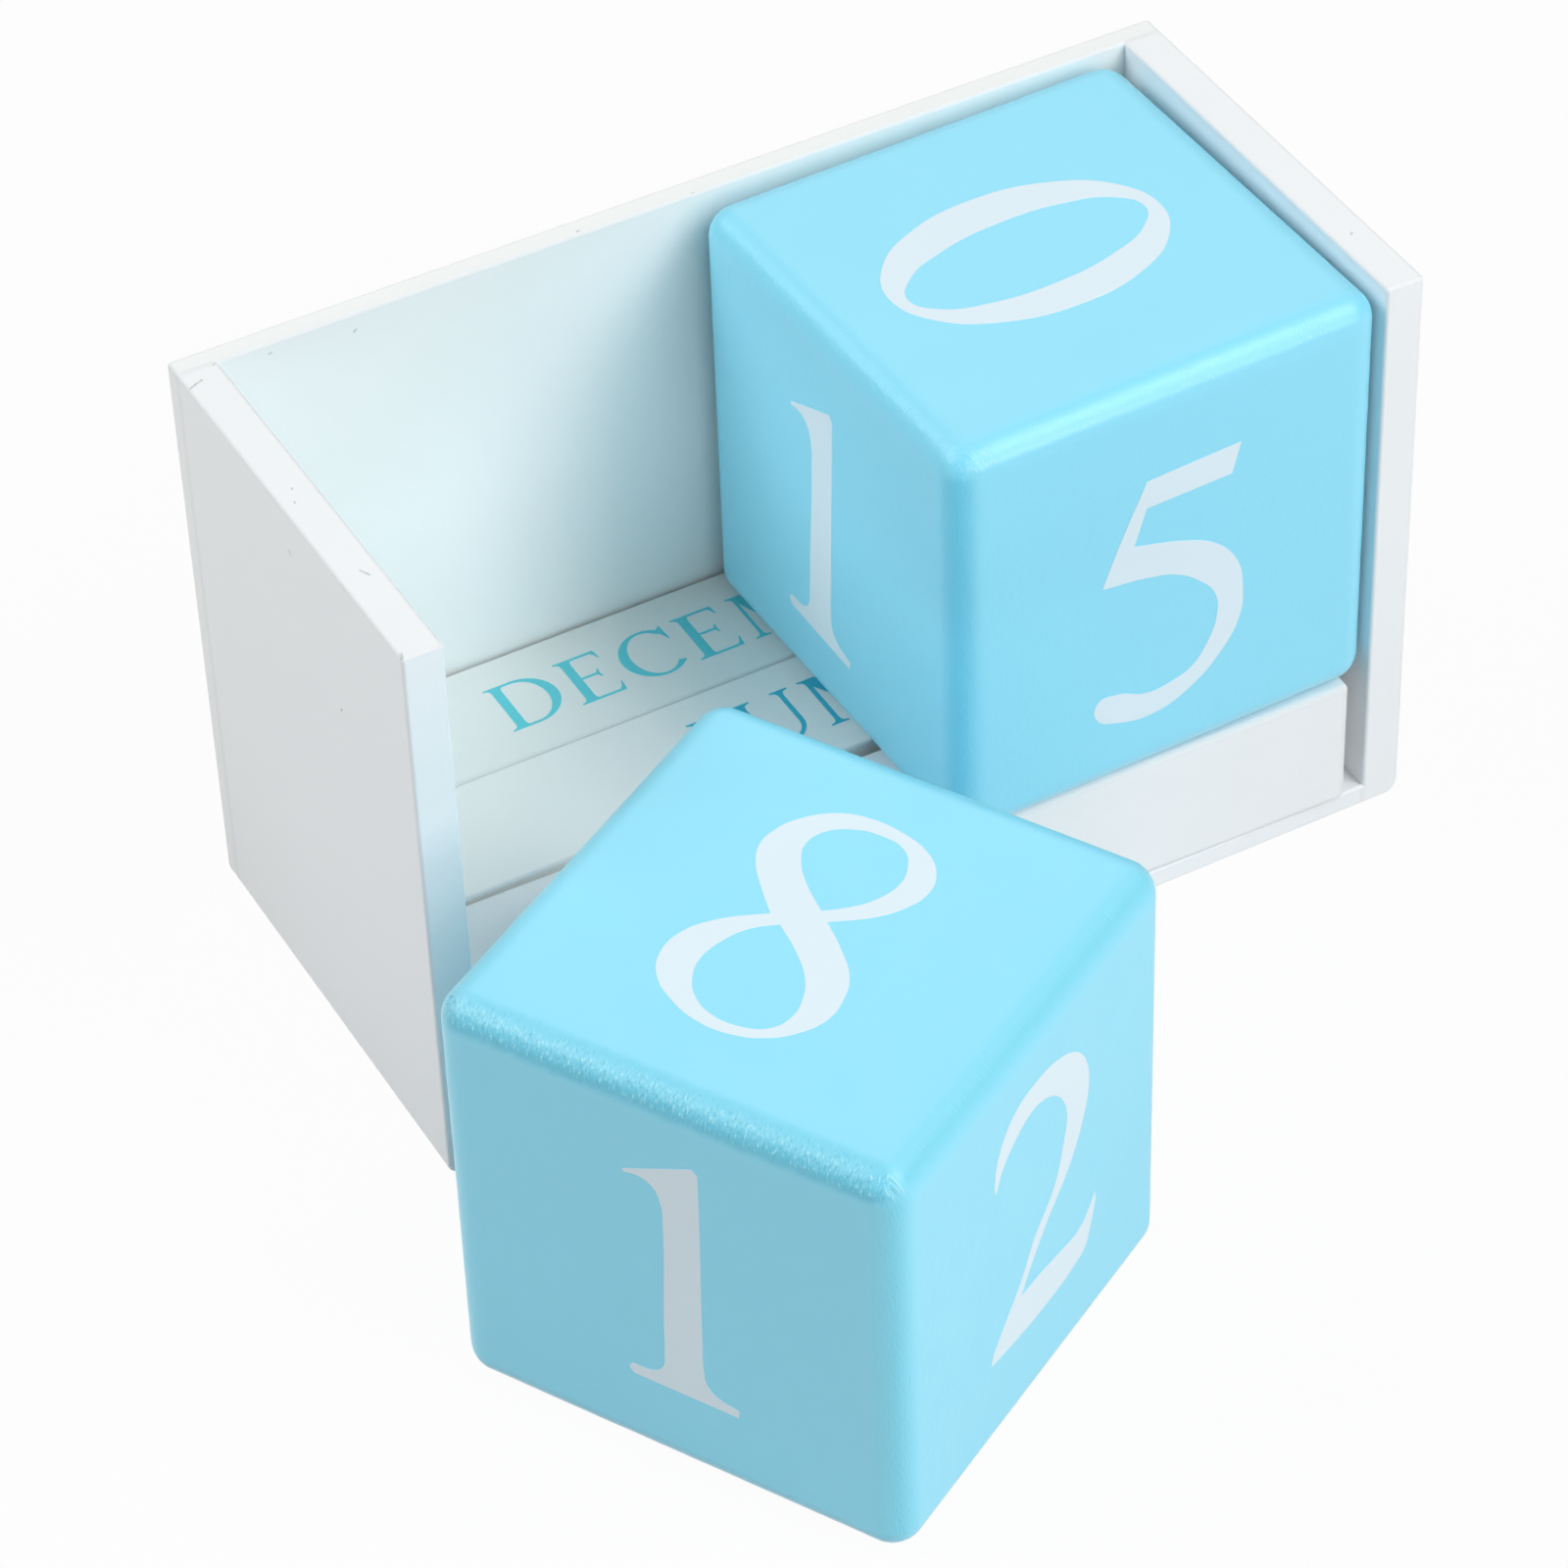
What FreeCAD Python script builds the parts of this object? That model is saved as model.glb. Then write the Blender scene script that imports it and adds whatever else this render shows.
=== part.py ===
import FreeCAD, Part

import math
import os

from FreeCAD import Vector

os.makedirs("parts", exist_ok=True)

# Perpetual block calendar: an open-fronted tray of four thin boards holds three square
# month bars, and two number cubes stand on the bars. One cube is in the tray and the
# other has been taken out and stands on the table in front of it.
# Frame: X to the right, Y to the back, Z up. The origin is the middle of the tray's
# underside. All lengths are millimetres.

# Number cubes
cube_side = 50.0
cube_edge_radius = 3.3

# Month bars: square in section, so that any of their four faces can lie on top. The front
# bar is the one that is picked up most, and its edges are rubbed rounder than the others'.
bar_side = 15.8
bar_edge_radius = 0.3
front_bar_edge_radius = 0.7

# Tray boards
side_thickness = 4.4
back_thickness = 2.5
base_thickness = 2.5
board_edge_radius = 0.4
foot_edge_radius = 1.5

# Room that the tray leaves round the bars
bar_end_play = 4.2
bar_depth_play = 2.3

# How the loose pieces lie in the tray. A turn is in degrees about the vertical, and it is
# positive anticlockwise as seen from above.
rear_bar_gap = 0.5
bar_gap = 0.1
front_bar_corner_gap = 0.4
front_bar_end_gap = 2.4
front_bar_turn = -1.1
tray_cube_side_gap = 0.65
tray_cube_back_gap = 0.5
tray_cube_turn = 1.2

# Where the other cube stands on the table
table_cube_gap = 0.2
table_cube_left = 33.3
table_cube_turn = -60.3

# Headless brads that pin the glued boards, punched below the face and filled over
brad_radius = 0.45
brad_length = 12.0
brad_clearance = 0.02
brad_punch_depth = 0.6
brad_tip_room = 0.3
upright_brad_shares = (0.14, 0.5, 0.86)
back_brad_shares = (-0.34, 0.0, 0.34)
side_brad_shares = (-0.26, 0.26)

# One length by which every cutting tool runs past what it cuts
overrun = 5.0

# Sizes that follow
bar_length = 2 * cube_side
inner_width = bar_length + bar_end_play
inner_depth = 3 * bar_side + bar_depth_play
tray_width = inner_width + 2 * side_thickness
tray_depth = inner_depth + back_thickness
tray_height = base_thickness + bar_side + cube_side

front_y = -tray_depth / 2
back_y = tray_depth / 2
wall_y = back_y - back_thickness
wall_x = inner_width / 2
bar_top = base_thickness + bar_side


def block(x_low, x_high, y_low, y_high, z_low, z_high):
    """A square-edged block between two corners."""
    corner = Vector(x_low, y_low, z_low)
    return Part.makeBox(x_high - x_low, y_high - y_low, z_high - z_low, corner)


def eased_block(length, depth, height, radius):
    """A block on z = 0, centred on the Z axis, with every edge rounded."""
    plain = block(-length / 2, length / 2, -depth / 2, depth / 2, 0, height)
    return plain.makeFillet(radius, plain.Edges)


def placed(shape, x, y, z, turn):
    """The shape turned about the vertical and then moved."""
    moved = shape.copy()
    moved.rotate(Vector(0, 0, 0), Vector(0, 0, 1), turn)
    moved.translate(Vector(x, y, z))
    return moved


def reach(along, across, radius, turn):
    """How far a turned block with rounded corners reaches from its centre."""
    angle = math.radians(turn)
    long_part = (along / 2 - radius) * abs(math.cos(angle))
    cross_part = (across / 2 - radius) * abs(math.sin(angle))
    return long_part + cross_part + radius


def write(name, solids):
    """One STEP file for a node, which holds one solid or a group of separate ones."""
    shape = solids[0] if len(solids) == 1 else Part.makeCompound(solids)
    shape.exportStep("parts/" + name + ".step")


def is_inner_corner(edge):
    """True for the lines inside the tray where two boards meet."""
    middle = edge.CenterOfMass
    near = board_edge_radius / 4
    at_side = abs(abs(middle.x) - wall_x) < near
    at_back = abs(middle.y - wall_y) < near
    at_base = abs(middle.z - base_thickness) < near
    at_front = abs(middle.y - front_y) < near
    if at_side and at_back:
        return True
    if at_base and at_side:
        return not at_front
    return at_base and at_back


def is_foot(edge):
    """True for the side and rear edges of the underside."""
    middle = edge.CenterOfMass
    return middle.z < board_edge_radius and middle.y > front_y + board_edge_radius


def is_seam(edge):
    """True for the lines where a rounded foot edge runs smoothly into flat faces."""
    middle = edge.CenterOfMass
    in_front = middle.y < front_y + board_edge_radius / 4
    return middle.z < foot_edge_radius + board_edge_radius / 4 and not in_front


def tray_shell():
    """All four boards in one piece, with the edges eased as they are after glueing."""
    outer = block(-tray_width / 2, tray_width / 2, front_y, back_y, 0, tray_height)
    foot = [edge for edge in outer.Edges if is_foot(edge)]
    footed = outer.makeFillet(foot_edge_radius, foot)
    room = block(-wall_x, wall_x, front_y - overrun, wall_y, base_thickness, tray_height + overrun)
    shell = footed.cut(room)
    sharp = [edge for edge in shell.Edges if not is_inner_corner(edge) and not is_seam(edge)]
    return shell.makeFillet(board_edge_radius, sharp)


def brad(start, direction):
    """One headless brad from its punched end."""
    return Part.makeCylinder(brad_radius, brad_length, start, direction)


def brad_hole(start, direction):
    """The hole that a brad makes, a little longer than the brad at its tip."""
    radius = brad_radius + brad_clearance
    return Part.makeCylinder(radius, brad_length + brad_tip_room, start, direction)


def upright_starts(side):
    """Brads through the back board into the rear edge of one side board."""
    x = side * (wall_x + side_thickness / 2)
    y = back_y - brad_punch_depth
    return [Vector(x, y, share * tray_height) for share in upright_brad_shares]


def back_base_starts():
    """Brads through the back board into the rear edge of the base board."""
    y = back_y - brad_punch_depth
    return [Vector(share * inner_width, y, base_thickness / 2) for share in back_brad_shares]


def side_base_starts(side):
    """Brads through one side board into the end of the base board."""
    x = side * (tray_width / 2 - brad_punch_depth)
    middle = (front_y + wall_y) / 2
    return [Vector(x, middle + share * inner_depth, base_thickness / 2) for share in side_brad_shares]


forward = Vector(0, -1, 0)
inward_from_left = Vector(1, 0, 0)
inward_from_right = Vector(-1, 0, 0)
brad_rows = {
    "back_to_left_side_brads": (upright_starts(-1), forward),
    "back_to_right_side_brads": (upright_starts(1), forward),
    "back_to_base_brads": (back_base_starts(), forward),
    "left_side_to_base_brads": (side_base_starts(-1), inward_from_left),
    "right_side_to_base_brads": (side_base_starts(1), inward_from_right),
}

# Tray: the eased shell is parted along the glue joints, and the brad holes are made
holes = []
for starts, direction in brad_rows.values():
    for start in starts:
        holes.append(brad_hole(start, direction))
shell = tray_shell().cut(Part.makeCompound(holes))

high = tray_height + overrun
far_x = tray_width / 2 + overrun
near_y = front_y - overrun
far_y = back_y + overrun
boards = {
    "base_panel": block(-wall_x, wall_x, near_y, wall_y, -overrun, high),
    "back_panel": block(-far_x, far_x, wall_y, far_y, -overrun, high),
    "left_side_panel": block(-far_x, -wall_x, near_y, wall_y, -overrun, high),
    "right_side_panel": block(wall_x, far_x, near_y, wall_y, -overrun, high),
}
for name, region in boards.items():
    write(name, shell.common(region).Solids)

for name, (starts, direction) in brad_rows.items():
    write(name, [brad(start, direction) for start in starts])

# Month bars: the rear and middle bars lie square, and the front one lies a little askew
square_bar = eased_block(bar_length, bar_side, bar_side, bar_edge_radius)
rubbed_bar = eased_block(bar_length, bar_side, bar_side, front_bar_edge_radius)
rear_bar_y = wall_y - rear_bar_gap - bar_side / 2
middle_bar_y = rear_bar_y - bar_side - bar_gap
middle_bar_face = middle_bar_y - bar_side / 2
front_bar_reach_y = reach(bar_side, bar_length, front_bar_edge_radius, front_bar_turn)
front_bar_reach_x = reach(bar_length, bar_side, front_bar_edge_radius, front_bar_turn)
front_bar_y = middle_bar_face - front_bar_corner_gap - front_bar_reach_y
front_bar_x = wall_x - front_bar_end_gap - front_bar_reach_x

write("month_bar_rear", [placed(square_bar, 0, rear_bar_y, base_thickness, 0)])
write("month_bar_middle", [placed(square_bar, 0, middle_bar_y, base_thickness, 0)])
front_bar = placed(rubbed_bar, front_bar_x, front_bar_y, base_thickness, front_bar_turn)
write("month_bar_front", [front_bar])

# Number cubes: one stands on the bars, its top level with the rim of the tray
number_cube = eased_block(cube_side, cube_side, cube_side, cube_edge_radius)
tray_cube_reach = reach(cube_side, cube_side, cube_edge_radius, tray_cube_turn)
tray_cube_x = wall_x - tray_cube_side_gap - tray_cube_reach
tray_cube_y = wall_y - tray_cube_back_gap - tray_cube_reach
tray_cube = placed(number_cube, tray_cube_x, tray_cube_y, bar_top, tray_cube_turn)
write("number_cube_in_tray", [tray_cube])

table_cube_reach = reach(cube_side, cube_side, cube_edge_radius, table_cube_turn)
table_cube_y = front_y - table_cube_gap - table_cube_reach
table_cube = placed(number_cube, -table_cube_left, table_cube_y, 0, table_cube_turn)
write("number_cube_on_table", [table_cube])
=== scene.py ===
import math

import bmesh
import bpy
from mathutils import Matrix, Vector, noise
from mathutils.geometry import delaunay_2d_cdt


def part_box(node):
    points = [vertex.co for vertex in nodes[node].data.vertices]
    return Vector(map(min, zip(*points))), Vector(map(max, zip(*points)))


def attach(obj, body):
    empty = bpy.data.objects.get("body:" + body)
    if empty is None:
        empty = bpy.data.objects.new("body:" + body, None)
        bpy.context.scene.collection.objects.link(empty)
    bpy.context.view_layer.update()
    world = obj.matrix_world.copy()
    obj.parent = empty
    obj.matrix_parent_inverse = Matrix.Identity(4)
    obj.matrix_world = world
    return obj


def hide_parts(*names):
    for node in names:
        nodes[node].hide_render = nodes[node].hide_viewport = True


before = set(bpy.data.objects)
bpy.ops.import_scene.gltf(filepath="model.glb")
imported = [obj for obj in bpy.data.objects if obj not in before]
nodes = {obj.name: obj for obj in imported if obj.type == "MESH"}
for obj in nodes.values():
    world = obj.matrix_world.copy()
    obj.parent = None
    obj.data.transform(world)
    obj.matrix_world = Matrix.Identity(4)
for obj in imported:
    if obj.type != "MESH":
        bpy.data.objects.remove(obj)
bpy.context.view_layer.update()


# Camera
# A long lens on a stand looks down on the calendar from the front, a little from its left.
# The camera aims at a point among the blocks and leans slightly to one side.
lens_mm = 136.4
film_mm = 36.0
aim = Vector((-0.0147, -0.0214, 0.0300))
aim_distance = 0.592
camera_azimuth = math.radians(-27.6)
camera_elevation = math.radians(41.98)
camera_roll = math.radians(-2.17)

toward_camera = Vector((
    math.sin(camera_azimuth) * math.cos(camera_elevation),
    -math.cos(camera_azimuth) * math.cos(camera_elevation),
    math.sin(camera_elevation),
))
level_right = Vector((math.cos(camera_azimuth), math.sin(camera_azimuth), 0))
level_up = toward_camera.cross(level_right)
camera_right = level_right * math.cos(camera_roll) + level_up * math.sin(camera_roll)
camera_up = level_up * math.cos(camera_roll) - level_right * math.sin(camera_roll)

camera_data = bpy.data.cameras.new("studio_camera")
camera_data.sensor_width = film_mm
camera_data.lens = lens_mm
camera = bpy.data.objects.new("studio_camera", camera_data)
camera.matrix_world = (
    Matrix.Translation(aim + toward_camera * aim_distance)
    @ Matrix((camera_right, camera_up, toward_camera)).transposed().to_4x4()
)
bpy.context.scene.collection.objects.link(camera)
bpy.context.scene.camera = camera


# Studio
# A pale table top under seven soft lamps: two at the front right and a small low one below
# them, one at the front left, two at the left and a weak one behind. The rest shows white.
bpy.context.scene.view_settings.view_transform = "Standard"


def add_node(tree, kind, inputs=None, **settings):
    """One shader node. An input is a value or another node's output."""
    made = tree.nodes.new(kind)
    for name, value in settings.items():
        setattr(made, name, value)
    for name, value in (inputs or {}).items():
        if isinstance(value, bpy.types.NodeSocket):
            tree.links.new(value, made.inputs[name])
        else:
            made.inputs[name].default_value = value
    return made


def number(tree, operation, first, second=0.0, clamped=False):
    """The output of one sum on one or two numbers. Clamped keeps it between 0 and 1."""
    made = add_node(tree, "ShaderNodeMath", {0: first, 1: second}, operation=operation, use_clamp=clamped)
    return made.outputs[0]


def seen_directly(tree):
    """1 for what the camera sees straight, in a gloss or through glass, and 0 elsewhere."""
    path = add_node(tree, "ShaderNodeLightPath")
    straight = number(tree, "MAXIMUM", path.outputs["Is Camera Ray"], path.outputs["Is Glossy Ray"])
    return number(tree, "MAXIMUM", straight, path.outputs["Is Transmission Ray"])


room = bpy.data.worlds.new("white_room")
room.use_nodes = True
bpy.context.scene.world = room
room_tree = room.node_tree
room_tree.nodes.clear()
room_white = add_node(room_tree, "ShaderNodeBackground", {
    "Color": (1, 1, 1, 1),
    "Strength": seen_directly(room_tree),
})
add_node(room_tree, "ShaderNodeOutputWorld", {"Surface": room_white.outputs[0]})

floor_half = 6.0
floor_drop = 0.00005
floor_whitening = 0.96
floor_mesh = bpy.data.meshes.new("table_top")
floor_mesh.from_pydata(
    [(x * floor_half, y * floor_half, -floor_drop) for x, y in ((-1, -1), (1, -1), (1, 1), (-1, 1))],
    [],
    [(0, 1, 2, 3)],
)
floor = bpy.data.objects.new("table_top", floor_mesh)
bpy.context.scene.collection.objects.link(floor)
floor_finish = bpy.data.materials.new("pale_table_top")
floor_finish.use_nodes = True
floor_tree = floor_finish.node_tree
floor_tree.nodes.clear()
floor_matt = add_node(floor_tree, "ShaderNodeBsdfDiffuse", {"Color": (0.65, 0.65, 0.65, 1)})
floor_white = add_node(floor_tree, "ShaderNodeEmission", {"Color": (1, 1, 1, 1), "Strength": 1.0})
floor_mix = add_node(floor_tree, "ShaderNodeMixShader", {
    0: number(floor_tree, "MULTIPLY", seen_directly(floor_tree), floor_whitening),
    1: floor_matt.outputs[0],
    2: floor_white.outputs[0],
})
add_node(floor_tree, "ShaderNodeOutputMaterial", {"Surface": floor_mix.outputs[0]})
floor_mesh.materials.append(floor_finish)


def soft_lamp(name, direction, distance, size, level):
    """A square lamp that faces the aim point. The level is what it gives a face turned to it."""
    lamp_data = bpy.data.lights.new(name, "AREA")
    lamp_data.shape = "SQUARE"
    lamp_data.size = size
    lamp_data.energy = level * (math.pi * distance) ** 2
    lamp = bpy.data.objects.new(name, lamp_data)
    away = Vector(direction).normalized()
    lamp.matrix_world = (
        Matrix.Translation(aim + away * distance) @ away.to_track_quat("Z", "Y").to_matrix().to_4x4()
    )
    bpy.context.scene.collection.objects.link(lamp)


lamp_distance = 1.1
soft_lamp("front_right_lamp", (0.42, -0.60, 0.68), lamp_distance, 0.60, 0.305)
soft_lamp("high_front_right_lamp", (0.42, -0.42, 0.80), lamp_distance, 0.60, 0.255)
soft_lamp("low_front_right_lamp", (0.36, -0.88, 0.30), lamp_distance, 0.35, 0.18)
soft_lamp("front_left_lamp", (-0.15, -0.85, 0.45), lamp_distance, 0.70, 0.21)
soft_lamp("left_lamp", (-0.75, 0.22, 0.60), lamp_distance, 0.50, 0.31)
soft_lamp("left_rear_lamp", (-0.52, 0.52, 0.67), lamp_distance, 0.70, 0.32)
soft_lamp("rear_lamp", (0.34, 0.66, 0.67), lamp_distance, 0.60, 0.10)


# Tray boards
# The base, back and two side boards are thin sawn boards, glued and pinned together. Their
# edges are eased, and the whole tray is sprayed with satin white paint.
def effect_group(name, takes, gives):
    """An empty node group with its named inputs and outputs."""
    tree = bpy.data.node_groups.new(name, "ShaderNodeTree")
    for label, kind, value in takes:
        tree.interface.new_socket(label, in_out="INPUT", socket_type=kind).default_value = value
    for label, kind in gives:
        tree.interface.new_socket(label, in_out="OUTPUT", socket_type=kind)
    return tree, tree.nodes.new("NodeGroupInput").outputs, tree.nodes.new("NodeGroupOutput").inputs


def vector_sum(tree, operation, first, second, output="Vector"):
    """The output of one sum on two vectors."""
    made = add_node(tree, "ShaderNodeVectorMath", {0: first, 1: second}, operation=operation)
    return made.outputs[output]


def noise_value(tree, place, scale, detail=2.0, roughness=0.5):
    """Soft noise between 0 and 1, with so many features to the metre."""
    made = add_node(tree, "ShaderNodeTexNoise", {
        "Vector": place,
        "Scale": scale,
        "Detail": detail,
        "Roughness": roughness,
    })
    return made.outputs["Fac"]


def spread(tree, value, low, high, to_low=0.0, to_high=1.0):
    """A value eased from one range to another."""
    made = add_node(tree, "ShaderNodeMapRange", {
        "Value": value,
        "From Min": low,
        "From Max": high,
        "To Min": to_low,
        "To Max": to_high,
    }, interpolation_type="SMOOTHSTEP")
    return made.outputs["Result"]


def box_edge_group():
    """Mask of the edges of a box: 1 on the edge, falling to 0 at the reach."""
    tree, takes, gives = effect_group(
        "box_edge",
        [
            ("Place", "NodeSocketVector", (0, 0, 0)),
            ("Low", "NodeSocketVector", (0, 0, 0)),
            ("High", "NodeSocketVector", (1, 1, 1)),
            ("Reach", "NodeSocketFloat", 0.001),
        ],
        [("Mask", "NodeSocketFloat")],
    )
    from_low = vector_sum(tree, "SUBTRACT", takes["Place"], takes["Low"])
    from_high = vector_sum(tree, "SUBTRACT", takes["High"], takes["Place"])
    nearest = vector_sum(tree, "MINIMUM", from_low, from_high)
    parts = add_node(tree, "ShaderNodeSeparateXYZ", {0: nearest})
    x, y, z = parts.outputs
    lesser = number(tree, "MINIMUM", x, y)
    greater = number(tree, "MAXIMUM", x, y)
    second = number(tree, "MAXIMUM", lesser, number(tree, "MINIMUM", greater, z))
    outward = number(tree, "SUBTRACT", 1.0, number(tree, "DIVIDE", second, takes["Reach"]))
    tree.links.new(spread(tree, outward, 0.0, 1.0), gives["Mask"])
    return tree


def sprayed_paint_group():
    """Satin paint, slightly uneven in shade and gloss, with the fine dimples of a sprayed coat."""
    tree, takes, gives = effect_group(
        "sprayed_paint",
        [
            ("Place", "NodeSocketVector", (0, 0, 0)),
            ("Colour", "NodeSocketColor", (1, 1, 1, 1)),
            ("Shade Change", "NodeSocketFloat", 0.02),
            ("Dullness", "NodeSocketFloat", 0.4),
            ("Dimple", "NodeSocketFloat", 1.0),
        ],
        [("Colour", "NodeSocketColor"), ("Roughness", "NodeSocketFloat"), ("Height", "NodeSocketFloat")],
    )
    cloud = noise_value(tree, takes["Place"], 45.0, 3.0)
    shade = number(tree, "MULTIPLY", number(tree, "SUBTRACT", cloud, 0.5), takes["Shade Change"])
    bright = number(tree, "ADD", shade, 1.0)
    tinted = add_node(tree, "ShaderNodeHueSaturation", {"Color": takes["Colour"], "Value": bright})
    tree.links.new(tinted.outputs[0], gives["Colour"])
    smear = noise_value(tree, takes["Place"], 160.0, 4.0)
    uneven = number(tree, "MULTIPLY", number(tree, "SUBTRACT", smear, 0.5), 0.16)
    tree.links.new(number(tree, "ADD", takes["Dullness"], uneven), gives["Roughness"])
    dimples = noise_value(tree, takes["Place"], 1100.0, 2.0)
    tree.links.new(number(tree, "MULTIPLY", dimples, takes["Dimple"]), gives["Height"])
    return tree


def dust_group():
    """Mask of a few tiny specks caught in the paint, one here and there."""
    tree, takes, gives = effect_group(
        "dust_specks",
        [
            ("Place", "NodeSocketVector", (0, 0, 0)),
            ("Spacing", "NodeSocketFloat", 90.0),
            ("Size", "NodeSocketFloat", 0.02),
            ("Share", "NodeSocketFloat", 0.3),
        ],
        [("Mask", "NodeSocketFloat")],
    )
    cells = add_node(tree, "ShaderNodeTexVoronoi", {"Vector": takes["Place"], "Scale": takes["Spacing"]})
    pick = add_node(tree, "ShaderNodeSeparateColor", {0: cells.outputs["Color"]})
    near = number(tree, "LESS_THAN", cells.outputs["Distance"], takes["Size"])
    kept = number(tree, "LESS_THAN", pick.outputs[0], takes["Share"])
    tree.links.new(number(tree, "MULTIPLY", near, kept), gives["Mask"])
    return tree


def line_mark_group():
    """Mask of one small nick or speck: 1 on the line between two points, 0 beyond its width."""
    tree, takes, gives = effect_group(
        "line_mark",
        [
            ("Place", "NodeSocketVector", (0, 0, 0)),
            ("Start", "NodeSocketVector", (0, 0, 0)),
            ("End", "NodeSocketVector", (0, 0, 0.001)),
            ("Width", "NodeSocketFloat", 0.0003),
        ],
        [("Mask", "NodeSocketFloat")],
    )
    run = vector_sum(tree, "SUBTRACT", takes["End"], takes["Start"])
    gone = vector_sum(tree, "SUBTRACT", takes["Place"], takes["Start"])
    reached = vector_sum(tree, "DOT_PRODUCT", gone, run, "Value")
    whole = vector_sum(tree, "DOT_PRODUCT", run, run, "Value")
    share = number(tree, "DIVIDE", reached, whole, clamped=True)
    foot = add_node(tree, "ShaderNodeVectorMath", {0: run, "Scale": share}, operation="SCALE")
    distance = vector_sum(tree, "DISTANCE", gone, foot.outputs[0], "Value")
    off = number(tree, "DIVIDE", distance, takes["Width"])
    ragged = number(tree, "MULTIPLY", noise_value(tree, takes["Place"], 5000.0, 2.0), 1.2)
    tree.links.new(spread(tree, number(tree, "ADD", off, ragged), 0.6, 1.3, 1.0, 0.0), gives["Mask"])
    return tree


box_edge = box_edge_group()
sprayed_paint = sprayed_paint_group()
dust_specks = dust_group()
line_mark = line_mark_group()


def start_finish(name):
    """A new material with one principled shader, and the place on the piece."""
    made = bpy.data.materials.new(name)
    made.use_nodes = True
    tree = made.node_tree
    tree.nodes.clear()
    shader = add_node(tree, "ShaderNodeBsdfPrincipled", {"Specular IOR Level": 0.3})
    add_node(tree, "ShaderNodeOutputMaterial", {"Surface": shader.outputs[0]})
    place = add_node(tree, "ShaderNodeTexCoord").outputs["Object"]
    return made, tree, shader, place


def use_group(tree, group, inputs):
    """One copy of a node group in a material."""
    return add_node(tree, "ShaderNodeGroup", inputs, node_tree=group).outputs


def mixed(tree, amount, first, second):
    """One colour laid over another by a mask."""
    made = add_node(tree, "ShaderNodeMix", {"Factor": amount, 6: first, 7: second}, data_type="RGBA")
    return made.outputs[2]


board_white = (0.915, 0.94, 0.955, 1)
# The back board's white is greener than the other boards': painted bounce light from the blue cubes on the
# same paint
back_board_painted_bounce_white = (0.915, 0.945, 0.93, 1)
# Darker white along the boards' edges: painted shade on the roundings
board_edge_painted_shade_white = (0.87, 0.895, 0.91, 1)
speck_grey = (0.30, 0.33, 0.34, 1)
mark_grey = (0.52, 0.56, 0.57, 1)
board_edge_reach = 0.0006
# Nicks, specks and chips in the paint of a board: from, to and width, in millimetres
board_marks = {
    "left_side_panel": [
        ((-56.4, 21.0, 68.3), (-54.7, 21.7, 68.3), 0.30),
        ((-52.7, 23.3, 68.3), (-52.5, 23.4, 68.3), 0.20),
        ((-54.4, 1.8, 68.3), (-54.3, 2.0, 68.3), 0.20),
        ((-55.1, -0.2, 68.3), (-55.0, 0.0, 68.3), 0.20),
        ((-54.1, -12.4, 68.3), (-53.6, -13.5, 68.3), 0.22),
        ((-56.3, -25.8, 68.2), (-56.1, -25.2, 68.2), 0.35),
        ((-56.5, -1.0, 63.6), (-56.5, -1.4, 63.3), 0.25),
        ((-56.5, -10.3, 50.4), (-56.5, -10.0, 50.0), 0.25),
    ],
    "back_panel": [
        ((-12.0, 24.1, 68.3), (-11.7, 24.2, 68.3), 0.22),
        ((0.9, 23.9, 68.2), (1.2, 23.9, 68.2), 0.20),
        ((-37.4, 23.6, 66.1), (-37.1, 23.6, 66.3), 0.22),
        ((-46.6, 23.6, 67.0), (-46.3, 23.6, 67.1), 0.18),
    ],
    "right_side_panel": [((54.1, -16.5, 68.3), (54.3, -16.2, 68.3), 0.22)],
    "base_panel": [],
}


def board_finish(name, low, high, white, marks):
    """White paint for one board between two corners, matt on its edges and painted darker there as painted
    shade, with its few marks.
    """
    made, tree, shader, place = start_finish(name)
    paint = use_group(tree, sprayed_paint, {
        "Place": place, "Colour": white, "Shade Change": 0.03, "Dullness": 0.42, "Dimple": 1.0,
    })
    specks = use_group(tree, dust_specks, {"Place": place, "Spacing": 70.0, "Size": 0.016, "Share": 0.35})
    edge = use_group(tree, box_edge, {"Place": place, "Low": low, "High": high, "Reach": board_edge_reach})
    # Darker on the edges: painted shade
    colour = mixed(tree, edge["Mask"], paint["Colour"], board_edge_painted_shade_white)
    colour = mixed(tree, specks["Mask"], colour, speck_grey)
    fibre = number(tree, "MULTIPLY", noise_value(tree, place, 1800.0, 3.0), edge["Mask"])
    height = number(tree, "ADD", number(tree, "MULTIPLY", paint["Height"], 0.35), fibre)
    for start, end, width in marks:
        mark = use_group(tree, line_mark, {
            "Place": place, "Start": Vector(start) / 1000, "End": Vector(end) / 1000, "Width": width / 1000,
        })
        colour = mixed(tree, mark["Mask"], colour, mark_grey)
        height = number(tree, "SUBTRACT", height, mark["Mask"])
    tree.links.new(colour, shader.inputs["Base Color"])
    matt = number(tree, "MULTIPLY", edge["Mask"], 0.25)
    tree.links.new(number(tree, "ADD", paint["Roughness"], matt), shader.inputs["Roughness"])
    bump = add_node(tree, "ShaderNodeBump", {"Strength": 0.12, "Distance": 0.0003, "Height": height})
    tree.links.new(bump.outputs[0], shader.inputs["Normal"])
    return made


for board, marks in board_marks.items():
    # The back board takes the greener white: painted bounce light
    white = back_board_painted_bounce_white if board == "back_panel" else board_white
    nodes[board].data.materials.clear()
    nodes[board].data.materials.append(board_finish("white_paint_" + board, *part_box(board), white, marks))


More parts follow.
